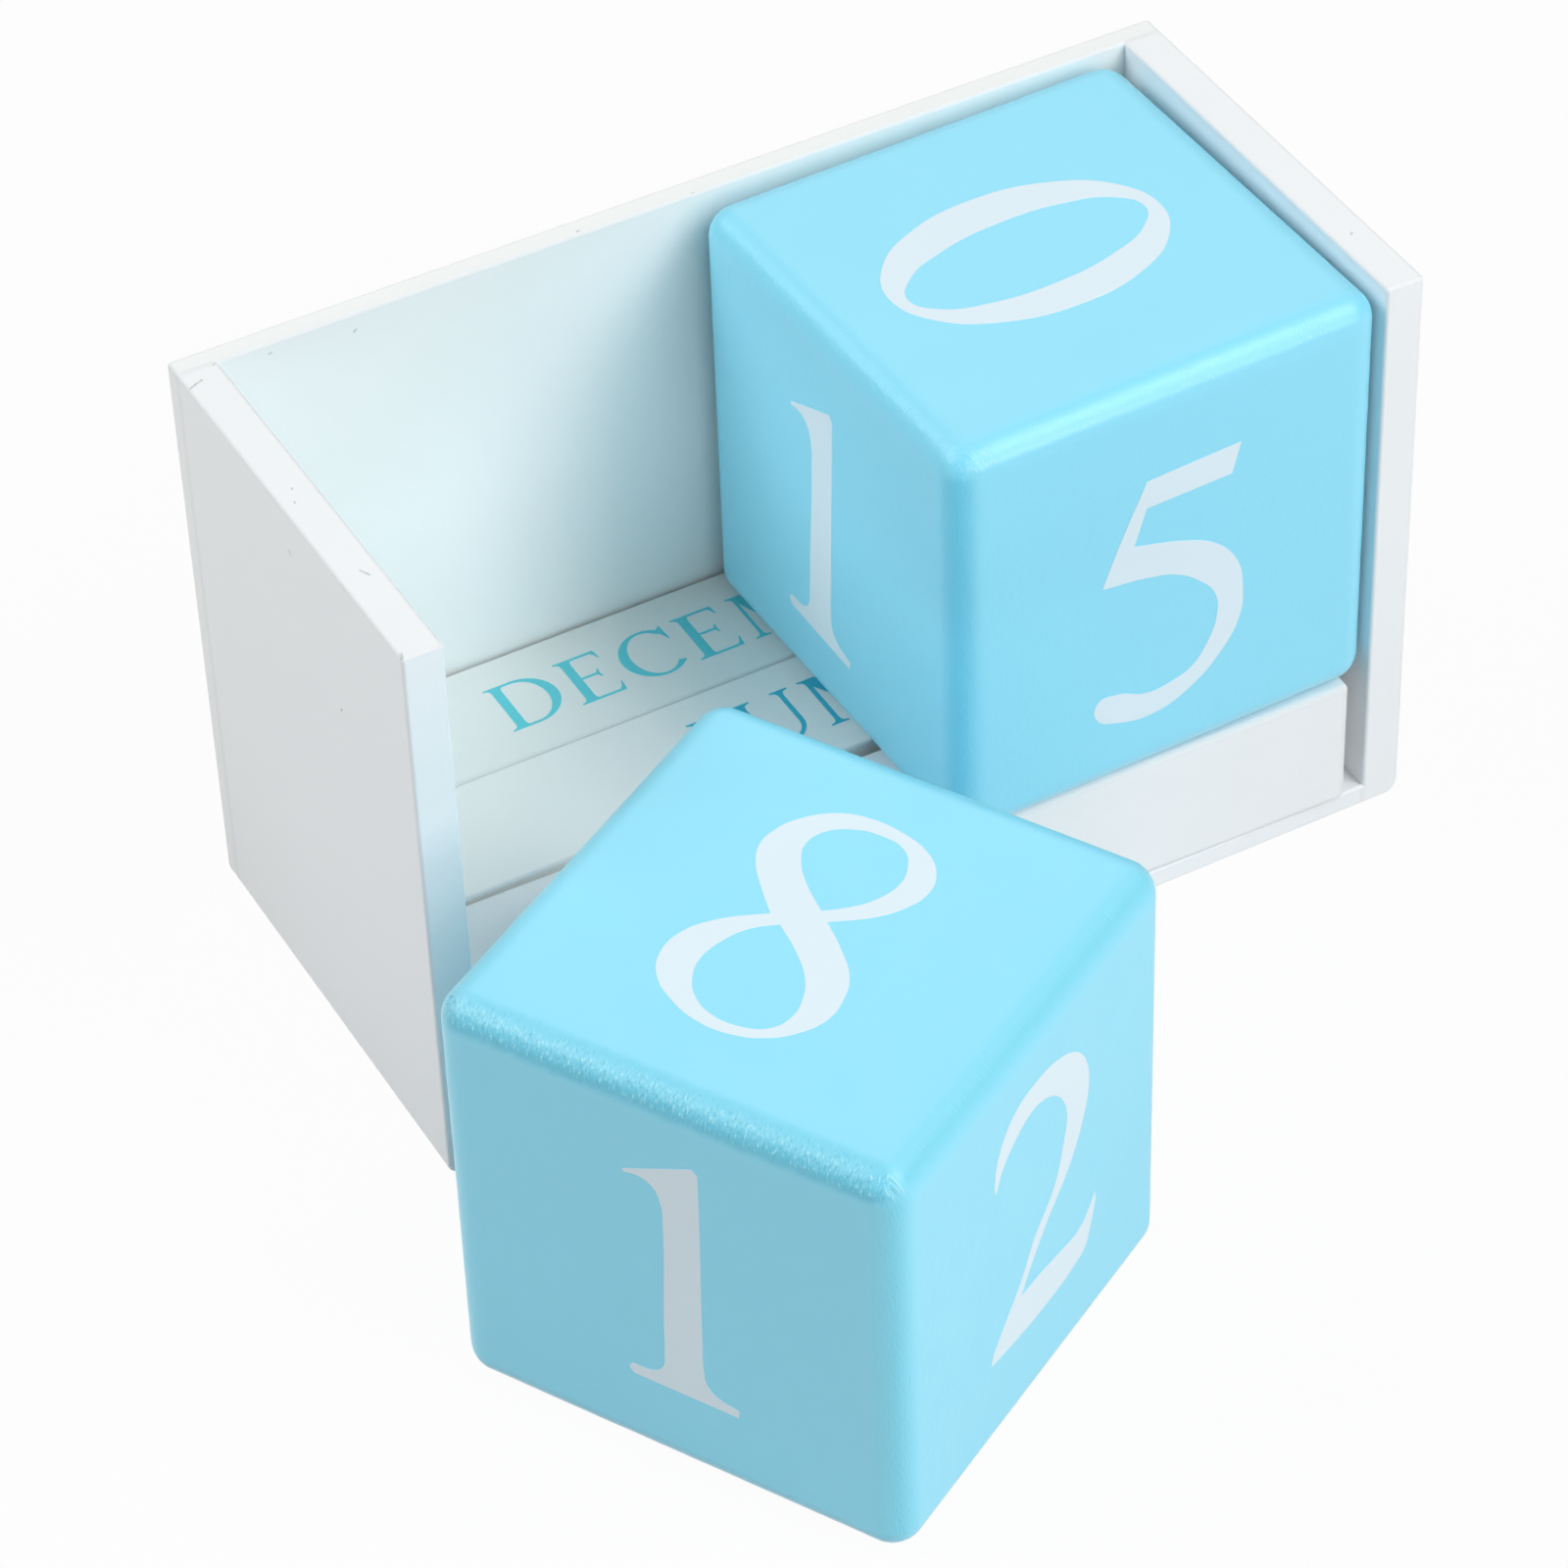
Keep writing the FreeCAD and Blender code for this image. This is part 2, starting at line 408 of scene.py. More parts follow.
# Number cubes
# Solid wooden blocks with rounded edges, sprayed sky blue. The sanded edges keep a trace of
# the wood's upright grain. Each of the six faces carries one numeral.
cube_side = 0.050
cube_round = 0.0033
cube_half = cube_side / 2
cube_size = (cube_side,) * 3
sanding_depth = 0.00005
cube_turns = {
    "number_cube_in_tray": math.radians(1.2),
    "number_cube_on_table": math.radians(-60.3),
}
cube_blue = (0.30, 0.79, 0.985, 1)
# Deeper blues on the cubes' roundings, one for each cube: painted shade where the roundings turn from the
# light
tray_cube_edge_shade_blue = (0.21, 0.76, 0.98, 1)
table_cube_edge_shade_blue = (0.20, 0.71, 0.89, 1)
# Deeper blue on the end grain's band: wear, and painted shade on the lower half of the rounding
worn_and_shaded_blue = (0.11, 0.56, 0.75, 1)
# Lighter blue on the raised fibres: painted glints
ridge_glint_blue = (0.44, 0.84, 0.96, 1)
# Darker blue between the raised fibres: painted shade
fibre_gap_shade_blue = (0.11, 0.48, 0.64, 1)


def block_ticks(half, radius, flats, bends):
    """Grid lines across one face: even over the flat, and even in angle over the rounding."""
    flat_half = half - radius
    band = [flat_half + radius * math.tan(math.radians(45) * k / bends) for k in range(1, bends + 1)]
    even = [flat_half * (2 * k / flats - 1) for k in range(flats + 1)]
    return [-value for value in reversed(band)] + even + band


def rounded_block(name, size, radius, flats, bends, roughen):
    """A closed block of quads, centred on its own origin, with rounded edges and corners."""
    halves = [side / 2 for side in size]
    ticks = [block_ticks(half, radius, count, bends) for half, count in zip(halves, flats)]
    mesh = bmesh.new()
    for axis in range(3):
        u, v = (axis + 1) % 3, (axis + 2) % 3
        for side in (-1, 1):
            rows = []
            for first in ticks[u]:
                row = []
                for second in ticks[v]:
                    point = Vector((0, 0, 0))
                    point[axis] = side * halves[axis]
                    point[u] = first
                    point[v] = second
                    core = Vector([
                        max(radius - half, min(half - radius, c)) for c, half in zip(point, halves)
                    ])
                    outward = (point - core).normalized()
                    place = core + outward * radius
                    bend = 1 - max(abs(c) for c in outward)
                    place -= outward * roughen(place, bend)
                    row.append(mesh.verts.new(place))
                rows.append(row)
            for near, far in zip(rows, rows[1:]):
                for k in range(len(near) - 1):
                    ring = [near[k], far[k], far[k + 1], near[k + 1]]
                    mesh.faces.new(ring if side > 0 else ring[::-1])
    bmesh.ops.remove_doubles(mesh, verts=mesh.verts, dist=radius / 1000)
    for face in mesh.faces:
        face.smooth = True
    data = bpy.data.meshes.new(name)
    mesh.to_mesh(data)
    mesh.free()
    made = bpy.data.objects.new(name, data)
    bpy.context.scene.collection.objects.link(made)
    return made


def sanded(place, bend):
    """How deep hand sanding has cut the rounding of a cube at this place."""
    wave = noise.noise(place * 260) * 0.5 + noise.noise(place * 700) * 0.25
    return sanding_depth * min(1.0, bend * 5) * (0.5 + wave)


def grain_stroke_group():
    """Fine strokes across a cube's edges, where the wood's fibres stand up under the paint."""
    tree, takes, gives = effect_group(
        "grain_strokes",
        [("Place", "NodeSocketVector", (0, 0, 0)), ("Number", "NodeSocketFloat", 3000.0)],
        [("Height", "NodeSocketFloat")],
    )
    spans = add_node(tree, "ShaderNodeSeparateXYZ", {
        0: vector_sum(tree, "ABSOLUTE", takes["Place"], (0, 0, 0)),
    })
    along = number(tree, "MINIMUM", spans.outputs[0], spans.outputs[1])
    across = vector_sum(tree, "DOT_PRODUCT", takes["Place"], (0.18, 0.29, 0.25), "Value")
    lines = add_node(tree, "ShaderNodeCombineXYZ", {0: along, 1: across})
    tree.links.new(noise_value(tree, lines.outputs[0], takes["Number"], 2.0, 0.6), gives["Height"])
    return tree


# Where the band on a cube's end grain, worn and darkened as painted shade, begins and where it is full,
# measured from the cube's middle towards its front and level edges, then down the rounding, then to its
# ends
band_reach = (cube_half - 0.0028, cube_half - 0.0016)
band_fall = (cube_half - 0.0009, cube_half - 0.0019)
band_end = (cube_half - 0.0007, cube_half - 0.0025)
# How far from the cube's middle the strokes across that band begin and end
stroke_inner = cube_half - 0.0026
stroke_outer = cube_half + 0.0001


def end_grain_group():
    """Masks of the level edges of a cube's front: the worn Band, fuller on the lower half of the rounding
    as painted shade, and the patchy Line of strokes.
    """
    tree, takes, gives = effect_group(
        "end_grain_edges",
        [
            ("Place", "NodeSocketVector", (0, 0, 0)),
            ("Inner", "NodeSocketFloat", stroke_inner),
            ("Outer", "NodeSocketFloat", stroke_outer),
            ("Patches", "NodeSocketFloat", 120.0),
            ("Cover", "NodeSocketFloat", 0.5),
        ],
        [("Band", "NodeSocketFloat"), ("Line", "NodeSocketFloat")],
    )
    front = add_node(tree, "ShaderNodeSeparateXYZ", {
        0: vector_sum(tree, "MULTIPLY", takes["Place"], (1, -1, 1)),
    })
    spans = add_node(tree, "ShaderNodeSeparateXYZ", {
        0: vector_sum(tree, "ABSOLUTE", takes["Place"], (0, 0, 0)),
    })
    ragged = number(tree, "MULTIPLY", noise_value(tree, takes["Place"], 700.0, 3.0, 0.7), 0.0010)
    near = spread(tree, number(tree, "ADD", front.outputs[1], ragged), *band_reach)
    level = spread(tree, number(tree, "ADD", spans.outputs[2], ragged), *band_reach)
    # Fuller on the lower half of the rounding: painted shade
    low = spread(tree, spans.outputs[2], *band_fall, 0.4, 1.0)
    inside = spread(tree, spans.outputs[0], *band_end)
    edge = number(tree, "MULTIPLY", near, level)
    tree.links.new(number(tree, "MULTIPLY", edge, number(tree, "MULTIPLY", low, inside)), gives["Band"])
    room = number(tree, "SUBTRACT", takes["Outer"], takes["Inner"])
    share = number(tree, "DIVIDE", number(tree, "SUBTRACT", spans.outputs[2], takes["Inner"]), room)
    line = number(tree, "MULTIPLY", spread(tree, share, 0.0, 0.3), spread(tree, share, 0.7, 1.0, 1.0, 0.0))
    cloud = number(tree, "ADD", noise_value(tree, takes["Place"], takes["Patches"], 1.0), takes["Cover"])
    patchy = number(tree, "MULTIPLY", line, spread(tree, cloud, 0.95, 1.15))
    tree.links.new(number(tree, "MULTIPLY", near, patchy), gives["Line"])
    return tree


grain_strokes = grain_stroke_group()
end_grain_edges = end_grain_group()


def cube_finish(name, edge_blue, worn, cover):
    """Sky-blue paint, glossier on its edges, with painted shade and glints there. Worn is how bare and dark
    the end grain is, cover how much shows.
    """
    made, tree, shader, place = start_finish(name)
    shader.inputs["Specular IOR Level"].default_value = 0.4
    paint = use_group(tree, sprayed_paint, {
        "Place": place, "Colour": cube_blue, "Shade Change": 0.03, "Dullness": 0.34, "Dimple": 1.0,
    })
    edge = use_group(tree, box_edge, {
        "Place": place, "Low": (-cube_half,) * 3, "High": (cube_half,) * 3, "Reach": cube_round,
    })
    end_grain = use_group(tree, end_grain_edges, {"Place": place, "Cover": cover})
    grain = use_group(tree, grain_strokes, {"Place": place, "Number": 4000.0})["Height"]
    # Lighter on the raised fibres: painted glints
    ridge_glints = number(tree, "MULTIPLY", end_grain["Line"], spread(tree, grain, 0.54, 0.70))
    # Darker between the fibres: painted shade
    fibre_gap_shades = number(tree, "MULTIPLY", end_grain["Line"], spread(tree, grain, 0.45, 0.33, 0.0, worn))
    # Deeper blue on the roundings: painted shade
    colour = mixed(tree, edge["Mask"], paint["Colour"], edge_blue)
    # Deeper blue on the end grain's band: wear and painted shade
    colour = mixed(tree, number(tree, "MULTIPLY", end_grain["Band"], worn), colour, worn_and_shaded_blue)
    colour = mixed(tree, fibre_gap_shades, mixed(tree, ridge_glints, colour, ridge_glint_blue), fibre_gap_shade_blue)
    tree.links.new(colour, shader.inputs["Base Color"])
    tree.links.new(paint["Roughness"], shader.inputs["Roughness"])
    glaze = number(tree, "MULTIPLY", edge["Mask"], 0.4)
    glaze = number(tree, "ADD", glaze, number(tree, "MULTIPLY", end_grain["Band"], 0.55))
    tree.links.new(glaze, shader.inputs["Coat Weight"])
    shader.inputs["Coat Roughness"].default_value = 0.28
    fibre = number(tree, "MULTIPLY", grain, number(tree, "ADD", edge["Mask"], end_grain["Line"]))
    height = number(tree, "ADD", number(tree, "MULTIPLY", paint["Height"], 0.25), fibre)
    bump = add_node(tree, "ShaderNodeBump", {"Strength": 0.35, "Distance": 0.0003, "Height": height})
    tree.links.new(bump.outputs[0], shader.inputs["Normal"])
    return made


cube_paints = {
    "number_cube_in_tray": cube_finish("sky_blue_paint", tray_cube_edge_shade_blue, 0.1, 0.42),
    "number_cube_on_table": cube_finish("worn_and_shaded_sky_blue_paint", table_cube_edge_shade_blue, 0.8, 0.80),
}
cubes = {}
for cube_node, turn in cube_turns.items():
    low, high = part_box(cube_node)
    block = rounded_block(cube_node + "_block", cube_size, cube_round, (60, 60, 60), 8, sanded)
    block.data.materials.append(cube_paints[cube_node])
    block.matrix_world = Matrix.Translation((low + high) / 2) @ Matrix.Rotation(turn, 4, "Z")
    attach(block, cube_node)
    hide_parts(cube_node)
    cubes[cube_node] = block


# Numerals
# Printed film numerals, pale on the blue, one on each face of a cube. Their outlines are
# drawn on a scale where a numeral is 100 high and is centred on its own upright line.
numeral_height = 0.0312
film_proud = 0.00003
pale_blue_white = (0.77, 0.90, 0.97, 1)
SHARP = "VECTOR"
ROUND = "AUTO"

one = [[
    (-17.4, 88.5, SHARP), (6.7, 100, SHARP), (8.8, 98.2, SHARP), (8.6, 80), (7.5, 28), (7.5, 14),
    (8.4, 8.5), (11.2, 5.4), (19.6, 3, SHARP), (19.1, 0, SHARP), (-18, 0, SHARP), (-19.6, 2.2, SHARP),
    (-18.5, 4.2, SHARP), (-10.6, 5.2), (-7.2, 8.6), (-6.4, 15), (-5.9, 30), (-4.3, 70), (-4.7, 80),
    (-7.4, 86), (-12, 88), (-17.2, 87.3, SHARP),
]]
five = [[
    (25.9, 99.9, SHARP), (22.6, 88.2, SHARP), (-9.6, 87.8, SHARP), (-14.1, 74, SHARP), (5.5, 68),
    (17, 61.9), (25.5, 51.3), (28, 40), (26.9, 26.1), (19.9, 14.6), (8.7, 5), (-4.5, 0.1),
    (-19.5, 2.1), (-27.9, 7.4), (-27.2, 14.1), (-19.9, 14.4), (-8.3, 9.9), (1, 10.6), (8.7, 13.5),
    (14.7, 21.2), (18.3, 32), (17.3, 40.7), (11.5, 48.4), (2.1, 55.4), (-9.3, 58.9),
    (-26, 61.5, SHARP), (-20.2, 75.9), (-9.6, 98.7, SHARP),
]]
eight = [
    [
        (-9.1, 49.7, SHARP), (-17.3, 57.9), (-24.2, 66), (-27.7, 73.9), (-27, 81.8), (-23.3, 89.3),
        (-13.8, 97.5), (-4.4, 100), (8, 99.1), (18.9, 95), (25.5, 88), (27.4, 79.9), (25.2, 72.3),
        (18.9, 63.5), (7.5, 54.7, SHARP), (17.3, 46.5), (25.6, 37.3), (28.6, 28.9), (28.9, 19.2),
        (23.6, 9.4), (17, 3.8), (7.9, 0.3), (-3.5, 0), (-16, 4.4), (-24.7, 11), (-28.9, 20.4),
        (-27.7, 30.5), (-21.5, 39.6),
    ],
    [
        (3.5, 57.9, SHARP), (-6.9, 66.4), (-12.9, 73.6), (-15.7, 80.8), (-13.8, 87.7), (-6.9, 93.1),
        (1.9, 95), (11.3, 93.1), (16.4, 86.5), (17.9, 79.3), (15.1, 70.1), (10, 63.4),
    ],
    [
        (-4.1, 46.9, SHARP), (6, 39.3), (14.2, 30.8), (17.9, 23.6), (19.2, 15.1), (16, 7.9),
        (8.5, 4.4), (-1.3, 4.4), (-9.3, 8.2), (-14.5, 14.5), (-17, 22.6), (-15.4, 32.4), (-10.7, 41.2),
    ],
]
two = [[
    (-29.8, 77.4, SHARP), (-27.4, 88.1), (-18.3, 97.9), (-3.1, 100.4), (8.4, 98.4), (20, 91.6),
    (25.9, 82.2), (27.2, 72.2), (23.3, 59.5), (14.6, 46.7), (2.8, 36.6), (-8.8, 24.4),
    (-14.1, 17.5, SHARP), (-3, 16.9), (8.9, 15.3), (22.6, 14.6), (27.9, 18.1), (31.5, 22.5, SHARP),
    (32.1, 18.5, SHARP), (28.1, 7.4), (25.7, 3.2), (20.9, 1.3), (-2.9, 0), (-20.6, 1.6),
    (-32.2, 3.3, SHARP), (-31, 7.2, SHARP), (-23.4, 14.9), (-14.6, 23.5), (-5.9, 35.4), (5.8, 46.4),
    (11.5, 59.6), (13.8, 69.8), (11.4, 78.7), (6.7, 84.8), (-0.2, 89.2), (-8.7, 90.3), (-17.3, 87.1),
    (-24.7, 81.6), (-28.7, 74.4, SHARP),
]]
three = [[
    (-25, 84, SHARP), (-18, 94), (-4, 100), (12, 97), (20.5, 87), (20, 75), (13, 65), (6, 59.5, SHARP),
    (18, 54), (26.5, 43), (27.5, 28), (20, 13), (6, 3.5), (-10, 0), (-22, 2.5), (-28.5, 8.5),
    (-27, 14.3), (-19, 14.6), (-8, 9.8), (3, 10.8), (12, 18.5), (16.5, 30), (14, 42), (5, 50),
    (-9, 53.5, SHARP), (-9, 57, SHARP), (1, 62), (8, 70), (10, 80), (4.5, 88.5), (-6, 90.5),
    (-16, 86.5), (-22, 80, SHARP),
]]
four = [
    [
        (20, 100, SHARP), (20, 33, SHARP), (32, 33, SHARP), (32, 24.5, SHARP), (20, 24.5, SHARP),
        (20, 0, SHARP), (7.5, 0, SHARP), (7.5, 24.5, SHARP), (-34, 24.5, SHARP), (-34, 29.5, SHARP),
        (14, 100, SHARP),
    ],
    [(7.5, 33, SHARP), (7.5, 80, SHARP), (-24, 33, SHARP)],
]
seven = [[
    (-27, 78, SHARP), (-25, 100, SHARP), (29, 100, SHARP), (29, 97, SHARP), (12, 50), (3, 0, SHARP),
    (-9, 0, SHARP), (2, 48), (19, 88, SHARP), (-14, 88), (-21, 85), (-24, 78, SHARP),
]]
six = [
    [
        (24, 100, SHARP), (6, 94), (-11, 81), (-23, 64), (-29, 44), (-27.5, 22), (-17, 6), (0, 0),
        (17, 5), (27.5, 19), (28, 38), (20, 53), (5, 59.5), (-9, 56), (-16.5, 49, SHARP), (-12, 66),
        (0, 82), (24, 96.5, SHARP),
    ],
    [
        (0, 4), (-9, 8), (-15.5, 21), (-17, 38), (-10, 49), (0, 53), (9, 49.5), (15, 38), (16, 23),
        (10, 8.5),
    ],
]


def ring_points(centre, across, tall, lean):
    """An oval outline of twelve points, leaned to one side."""
    made = []
    for k in range(12):
        angle = math.radians(30 * k)
        y = tall * math.sin(angle)
        made.append((centre[0] + across * math.cos(angle) + lean * y, centre[1] + y))
    return made


nought = [ring_points((0, 50), 32.8, 50, 0.02), ring_points((-0.9, 50), 18.3, 45.2, -0.03)]


def printed_outline(name, outlines, height):
    """A numeral as a thin film that stands on its own XY plane, filled between its outlines."""
    curve = bpy.data.curves.new(name, "CURVE")
    curve.dimensions = "2D"
    curve.fill_mode = "BOTH"
    curve.extrude = film_proud
    curve.resolution_u = 8
    unit = height / 100
    for outline in outlines:
        spline = curve.splines.new("BEZIER")
        spline.use_cyclic_u = True
        spline.bezier_points.add(len(outline) - 1)
        for point, (x, y, *turn) in zip(spline.bezier_points, outline):
            point.co = (x * unit, (y - 50) * unit, 0)
            kind = turn[0] if turn else ROUND
            point.handle_left_type = kind
            point.handle_right_type = kind
    shape = bpy.data.objects.new(name, curve)
    bpy.context.scene.collection.objects.link(shape)
    bpy.context.view_layer.update()
    mesh = bpy.data.meshes.new_from_object(shape.evaluated_get(bpy.context.evaluated_depsgraph_get()))
    bpy.data.objects.remove(shape)
    made = bpy.data.objects.new(name, mesh)
    bpy.context.scene.collection.objects.link(made)
    return made


def numeral_finish(name):
    """Pale printed film with a faint unevenness."""
    made, tree, shader, place = start_finish(name)
    paint = use_group(tree, sprayed_paint, {
        "Place": place, "Colour": pale_blue_white, "Shade Change": 0.03, "Dullness": 0.45, "Dimple": 0.6,
    })
    tree.links.new(paint["Colour"], shader.inputs["Base Color"])
    tree.links.new(paint["Roughness"], shader.inputs["Roughness"])
    return made


pale_film = numeral_finish("pale_print")

# A face's own right and up directions, seen from outside the block
face_turns = {
    "front": (Vector((1, 0, 0)), Vector((0, 0, 1))),
    "right": (Vector((0, 1, 0)), Vector((0, 0, 1))),
    "back": (Vector((-1, 0, 0)), Vector((0, 0, 1))),
    "left": (Vector((0, -1, 0)), Vector((0, 0, 1))),
    "top": (Vector((1, 0, 0)), Vector((0, 1, 0))),
    "bottom": (Vector((1, 0, 0)), Vector((0, -1, 0))),
}


def face_place(face, size, shift, turn):
    """Where a print lies on a block: on the face's surface, shifted and turned in its plane."""
    right, up = face_turns[face]
    out = right.cross(up)
    depth = sum(abs(c) * side / 2 for c, side in zip(out, size))
    axes = Matrix((right, up, out)).transposed().to_4x4()
    middle = right * shift[0] + up * shift[1] + out * depth
    return Matrix.Translation(middle) @ axes @ Matrix.Rotation(math.radians(turn), 4, "Z")


numeral_places = {
    "number_cube_in_tray": {
        "top": ("0", nought, (-0.0011, 0.0003), 90),
        "left": ("1", one, (-0.0016, -0.0003), -2.0),
        "front": ("5", five, (0.0001, -0.0016), 0),
        "right": ("2", two, (0, 0), 0),
        "back": ("3", three, (0, 0), 0),
        "bottom": ("4", four, (0, 0), 0),
    },
    "number_cube_on_table": {
        "top": ("8", eight, (-0.0006, 0.0004), 0),
        "front": ("1", one, (0.0012, 0.0015), 0),
        "right": ("2", two, (0.0013, 0.0017), 0),
        "back": ("0", nought, (0, 0), 0),
        "left": ("7", seven, (0, 0), 0),
        "bottom": ("6", six, (0, 0), 0),
    },
}
for cube_node, faces in numeral_places.items():
    for face, (digit, outlines, shift, turn) in faces.items():
        label = "numeral_%s_%s" % (digit, cube_node.removeprefix("number_cube_"))
        film = printed_outline(label, outlines, numeral_height)
        film.data.materials.append(pale_film)
        film.matrix_world = cubes[cube_node].matrix_world @ face_place(face, cube_size, shift, turn)
        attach(film, cube_node)


# Month bars
# Three square bars as long as two cubes, painted like the tray. Four months to a bar are
# printed in teal capitals, one on each long face.
bar_size = (0.100, 0.0158, 0.0158)
bar_turns = {"month_bar_rear": 0.0, "month_bar_middle": 0.0, "month_bar_front": math.radians(-1.1)}
bar_edge_reaches = {"month_bar_rear": 0.0005, "month_bar_middle": 0.0005, "month_bar_front": 0.001}
# Darker white along the bars' edges: painted shade
bar_edge_painted_shade_white = (0.78, 0.81, 0.81, 1)
# Each bar's white differs, the middle one lighter: painted light and shade on the same paint
bar_whites_with_painted_light = {
    "month_bar_rear": (0.905, 0.935, 0.91, 1),
    "month_bar_middle": (0.94, 0.96, 0.94, 1),
    "month_bar_front": (0.91, 0.93, 0.94, 1),
}


def bar_finish(name, centre, turn, reach, white):
    """White paint for one bar, rubbed matt along its edges and painted darker there as painted shade."""
    made, tree, shader, place = start_finish(name)
    paint = use_group(tree, sprayed_paint, {
        "Place": place, "Colour": white, "Shade Change": 0.04, "Dullness": 0.42, "Dimple": 1.0,
    })
    specks = use_group(tree, dust_specks, {"Place": place, "Spacing": 120.0, "Size": 0.02, "Share": 0.3})
    straight = add_node(tree, "ShaderNodeVectorRotate", {
        "Vector": place, "Center": centre, "Angle": -turn,
    }, rotation_type="Z_AXIS")
    half = Vector(bar_size) / 2
    edge = use_group(tree, box_edge, {
        "Place": straight.outputs[0], "Low": centre - half, "High": centre + half, "Reach": reach,
    })
    # Darker along the edges: painted shade
    colour = mixed(tree, edge["Mask"], paint["Colour"], bar_edge_painted_shade_white)
    tree.links.new(mixed(tree, specks["Mask"], colour, speck_grey), shader.inputs["Base Color"])
    matt = number(tree, "MULTIPLY", edge["Mask"], 0.35)
    tree.links.new(number(tree, "ADD", paint["Roughness"], matt), shader.inputs["Roughness"])
    bump = add_node(tree, "ShaderNodeBump", {
        "Strength": 0.05, "Distance": 0.0003, "Height": paint["Height"],
    })
    tree.links.new(bump.outputs[0], shader.inputs["Normal"])
    return made


bar_places = {}
for bar, turn in bar_turns.items():
    low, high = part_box(bar)
    centre = (low + high) / 2
    bar_places[bar] = Matrix.Translation(centre) @ Matrix.Rotation(turn, 4, "Z")
    nodes[bar].data.materials.clear()
    paint = bar_finish("white_paint_" + bar, centre, turn, bar_edge_reaches[bar], bar_whites_with_painted_light[bar])
    nodes[bar].data.materials.append(paint)


# Month names
# Printed teal capitals with thick stems, thin cross strokes and bracketed feet. The letters
# are drawn on a scale where a capital is 100 high and starts at its own left edge.
class Pen:
    """Draws a letter as small four-sided pieces, thick down the page and thin across it."""

    def __init__(self, thick, thin):
        self.thick = thick
        self.thin = thin
        self.pieces = []

    def strip(self, left, right):
        """The band between two lines of as many points, in pieces that run anticlockwise."""
        for k in range(len(left) - 1):
            ring = [left[k], right[k], right[k + 1], left[k + 1]]
            area = sum(a[0] * b[1] - a[1] * b[0] for a, b in zip(ring, ring[1:] + ring[:1]))
            self.pieces.append(ring if area > 0 else ring[::-1])

    def slab(self, x, y, width, up=1):
        """The thin flat foot of a slanting stroke. Below zero, up turns it over."""
        half = width / 2 + 7.5
        self.strip([(x - half, y), (x - half + 1, y + 3 * up)], [(x + half, y), (x + half - 1, y + 3 * up)])

    def foot(self, x, y, width, up=1):
        """A thin flat foot that curves into an upright."""
        steps = ((0, 1.0), (2.4, 1.0), (3.6, 0.5), (5.6, 0.2), (8.5, 0.05), (12.0, 0.0))
        left = [(x - width / 2 - 8 * share, y + up * rise) for rise, share in steps]
        right = [(x + width / 2 + 8 * share, y + up * rise) for rise, share in steps]
        self.strip(left, right)

    def upright(self, x, width, low=0, high=100, feet="both"):
        """A stem about its middle line, with a foot at one end, both or neither."""
        left = x - width / 2
        right = x + width / 2
        self.strip([(left, low), (left, high)], [(right, low), (right, high)])
        if feet in ("both", "low"):
            self.foot(x, low, width)
        if feet in ("both", "high"):
            self.foot(x, high, width, -1)

    def slope(self, start, end, width):
        """A slanting stroke, cut level at both ends."""
        left = [(start[0] - width / 2, start[1]), (end[0] - width / 2, end[1])]
        right = [(start[0] + width / 2, start[1]), (end[0] + width / 2, end[1])]
        self.strip(left, right)

    def arm(self, start, end, y, tip=0.0):
        """A thin level stroke. A tip above zero rises at the end, and one below it hangs."""
        half = self.thin / 2
        self.strip([(start, y - half), (end, y - half)], [(start, y + half), (end, y + half)])
        if tip:
            side = 1 if end > start else -1
            base = y - half if tip > 0 else y + half
            outer = [(end, base), (end + side * 0.8, base + tip * 0.5), (end + side * 1.6, base + tip)]
            inner = [(end - side * 10, base), (end - side * 2.6, base + tip * 0.5), (end, base + tip)]
            self.strip(outer, inner)

    def ring(self, centre, across, tall, start, end):
        """An oval stroke between two angles, thick at its sides."""
        hollow_across = across - self.thick * 1.06
        self.crescent(centre, across, tall, centre, hollow_across, tall - self.thin, start, end)

    def crescent(self, centre, across, tall, hollow, hollow_across, hollow_tall, start, end):
        """The band between two ovals, from one angle to another."""
        count = max(4, round(abs(end - start) / 7))
        angles = [math.radians(start + (end - start) * k / count) for k in range(count + 1)]
        self.strip(
            [(centre[0] + across * math.cos(a), centre[1] + tall * math.sin(a)) for a in angles],
            [
                (hollow[0] + hollow_across * math.cos(a), hollow[1] + hollow_tall * math.sin(a))
                for a in angles
            ],
        )

    def belly(self, stem, turn, low, high, reach):
        """The rounded side of a letter, from its stem out and back."""
        half = self.thin / 2
        self.arm(stem, turn, low + half)
        self.arm(stem, turn, high - half)
        self.ring((turn, (low + high) / 2), reach - turn, (high - low) / 2, -90, 90)

    def swell(self, points):
        """A smooth stroke through points, wider the more upright it runs."""
        path = []
        for run in zip(points, points[1:], points[2:], points[3:]):
            for k in range(6):
                t = k / 6
                path.append([
                    b + 0.5 * t * (c - a + t * (2 * a - 5 * b + 4 * c - d + t * (3 * b - a - 3 * c + d)))
                    for a, b, c, d in zip(*run)
                ])
        path.append(points[-2])
        left = []
        right = []
        for k, (x, y) in enumerate(path):
            ahead = path[min(k + 1, len(path) - 1)]
            behind = path[max(k - 1, 0)]
            along = Vector((ahead[0] - behind[0], ahead[1] - behind[1])).normalized()
            half = (self.thin + (self.thick - self.thin) * abs(along.y) ** 1.6) / 2
            left.append((x - along.y * half, y + along.x * half))
            right.append((x + along.y * half, y - along.x * half))
        self.strip(left, right)

    def beak(self, x):
        """The hanging barb at the upper end of a round letter."""
        self.strip([(x - 13, 88), (x - 6, 82), (x - 0.6, 67)], [(x - 1, 100), (x - 0.2, 84), (x + 0.6, 67)])


